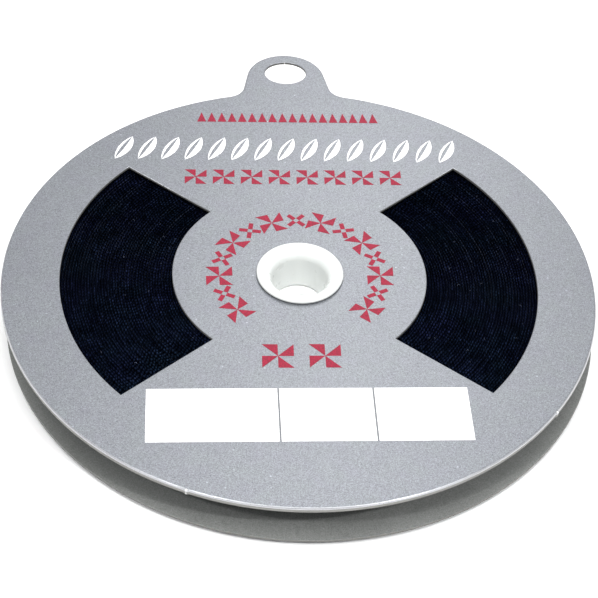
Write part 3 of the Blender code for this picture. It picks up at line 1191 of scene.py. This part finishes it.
def label_cells():
    """Three bare white cells."""
    stops = [LABEL_LEFT, *LABEL_DIVIDERS, LABEL_RIGHT]
    return [panel_strip(left + LABEL_RULE / 2, right - LABEL_RULE / 2)
            for left, right in zip(stops, stops[1:])]


def label_rules():
    """Thin grey rules between the cells, just clear of them."""
    reach = LABEL_RULE / 2 - 0.01
    return [panel_strip(x - reach, x + reach) for x in LABEL_DIVIDERS]


def ink_piece(name, marks, material, slot_name):
    """Marks laid on the card as a thin film of ink."""
    film = loop_object(name, [[(x * MM, y * MM) for x, y in points] for points in marks], "NGON")
    film.location = (HUB_X, HUB_Y, CARD_TOP + INK_GAP)
    settle(film)
    start_edit(film, "VERT", "SELECT")
    raise_flat(bpy.context.scene.reel_print.ink)
    film.data.materials.append(material)
    ride_root(film, slot_name)


class REEL_OT_printing(bpy.types.Operator):
    """Print the plain marks and the bare three-cell panel on the upper card"""
    bl_idname = "reel.printing"
    bl_label = "Printing"

    def execute(self, context):
        settings = context.scene.reel_print
        red = printing_ink("red_ink", settings.red, 2.2)
        white = printing_ink("white_ink", settings.white, 0.1)
        grey = printing_ink("grey_ink", settings.rules, 0.5)
        ink_piece("red_marks", small_row() + middle_row() + ring_of_marks() + front_pair(), red, "red_ink")
        ink_piece("white_bars", leaf_row(), white, "white_ink")
        ink_piece("label_panel", label_cells(), white, "white_ink")
        ink_piece("label_rules", label_rules(), grey, "white_ink")
        return {"FINISHED"}


# ------------------------------------------------------------------ stage

def lamp(name, azimuth, height, distance, size, shine):
    """A softbox aimed at the reel, its direction in degrees from +X and above the floor.

    shine is the light that it draws from a white level face under it.
    """
    around = math.radians(azimuth)
    above = math.radians(height)
    place = distance * Vector((math.cos(around) * math.cos(above), math.sin(around) * math.cos(above),
                               math.sin(above)))
    deselect()
    bpy.ops.object.light_add(type="AREA", location=place)
    light = bpy.context.object
    light.name = name
    light.data.name = name
    light.data.shape = "RECTANGLE"
    light.data.size, light.data.size_y = size
    light.data.energy = shine * math.pi ** 2 * distance ** 2 / math.sin(above)
    light.rotation_euler = (-place).to_track_quat("-Z", "Y").to_euler()
    return light


def camera_placement(stage):
    """The camera's matrix: round the disc's centre on the card's upper face, then aimed and rolled."""
    centre = Vector((HUB_X, HUB_Y, CARD_TOP))
    back = Vector((math.sin(stage.turn) * math.cos(stage.tilt), -math.cos(stage.turn) * math.cos(stage.tilt),
                   math.sin(stage.tilt)))
    place = centre + stage.distance * back
    ahead = (centre + Vector((FOCUS_X, FOCUS_Y, 0.0)) - place).normalized()
    right = ahead.cross(Vector((0.0, 0.0, 1.0))).normalized()
    up = right.cross(ahead)
    turned_right = math.cos(stage.roll) * right + math.sin(stage.roll) * up
    turned_up = math.cos(stage.roll) * up - math.sin(stage.roll) * right
    turned = Matrix((turned_right, turned_up, -ahead)).transposed().to_4x4()
    return Matrix.Translation(place) @ turned


class REEL_OT_stage(bpy.types.Operator):
    """Lay the pale floor and set the lights and the camera"""
    bl_idname = "reel.stage"
    bl_label = "Stage"

    def execute(self, context):
        stage = context.scene.reel_stage
        deselect()
        bpy.ops.mesh.primitive_plane_add(size=8.0, location=(0.0, 0.0, 0.0))
        floor = context.object
        floor.name = "floor"
        floor.data.materials.append(pale_floor(stage.floor))

        world = bpy.data.worlds.new("studio")
        world.use_nodes = True
        plug(world.node_tree, world.node_tree.nodes["Background"],
             {"Color": (1.0, 1.0, 1.0, 1.0), "Strength": stage.daylight})
        context.scene.world = world
        lamp("overhead_softbox", 180.0, 88.0, 0.90, (0.90, 0.80), 1.00)
        lamp("back_strip", 81.0, 47.5, 0.90, (0.16, 0.50), 0.178)
        lamp("left_lamp", -130.2, 52.4, 0.90, (0.05, 0.05), 0.175)
        lamp("right_lamp", -48.9, 49.9, 0.90, (0.05, 0.05), 0.26)

        deselect()
        bpy.ops.object.camera_add()
        camera = context.object
        camera.name = "photo_camera"
        camera.data.sensor_width = 36.0
        camera.data.lens = stage.lens
        camera.data.clip_start = 0.01
        camera.data.clip_end = 20.0
        camera.matrix_world = camera_placement(stage)
        context.scene.camera = camera
        context.scene.view_settings.view_transform = "Standard"
        return {"FINISHED"}


# ------------------------------------------------------------------ panel and registration

class REEL_PT_panel(bpy.types.Panel):
    """The reel's operators and settings"""
    bl_label = "Bias binding reel"
    bl_idname = "REEL_PT_panel"
    bl_space_type = "VIEW_3D"
    bl_region_type = "UI"
    bl_category = "Reel"

    def draw(self, context):
        for operator in OPERATORS:
            self.layout.operator(operator.bl_idname)
        for name in SETTINGS:
            box = self.layout.box()
            group = getattr(context.scene, name)
            for key in group.bl_rna.properties.keys():
                if key not in {"rna_type", "name"}:
                    box.prop(group, key)


OPERATORS = (REEL_OT_cards, REEL_OT_wound_tape, REEL_OT_lint, REEL_OT_eyelet, REEL_OT_printing, REEL_OT_stage)
SETTINGS = {
    "reel_card": CardSettings,
    "reel_tape": TapeSettings,
    "reel_eyelet": EyeletSettings,
    "reel_print": PrintSettings,
    "reel_stage": StageSettings,
}


def register():
    """Register the settings, the operators and the panel."""
    for name, group in SETTINGS.items():
        bpy.utils.register_class(group)
        setattr(bpy.types.Scene, name, bpy.props.PointerProperty(type=group))
    for operator in OPERATORS:
        bpy.utils.register_class(operator)
    bpy.utils.register_class(REEL_PT_panel)


def unregister():
    """Undo register."""
    bpy.utils.unregister_class(REEL_PT_panel)
    for operator in reversed(OPERATORS):
        bpy.utils.unregister_class(operator)
    for name, group in reversed(SETTINGS.items()):
        delattr(bpy.types.Scene, name)
        bpy.utils.unregister_class(group)


def main():
    """Make every piece in order."""
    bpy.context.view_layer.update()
    register()
    bpy.ops.reel.cards()
    bpy.ops.reel.wound_tape()
    bpy.ops.reel.lint()
    bpy.ops.reel.eyelet()
    bpy.ops.reel.printing()
    bpy.ops.reel.stage()


if __name__ == "__main__":
    main()
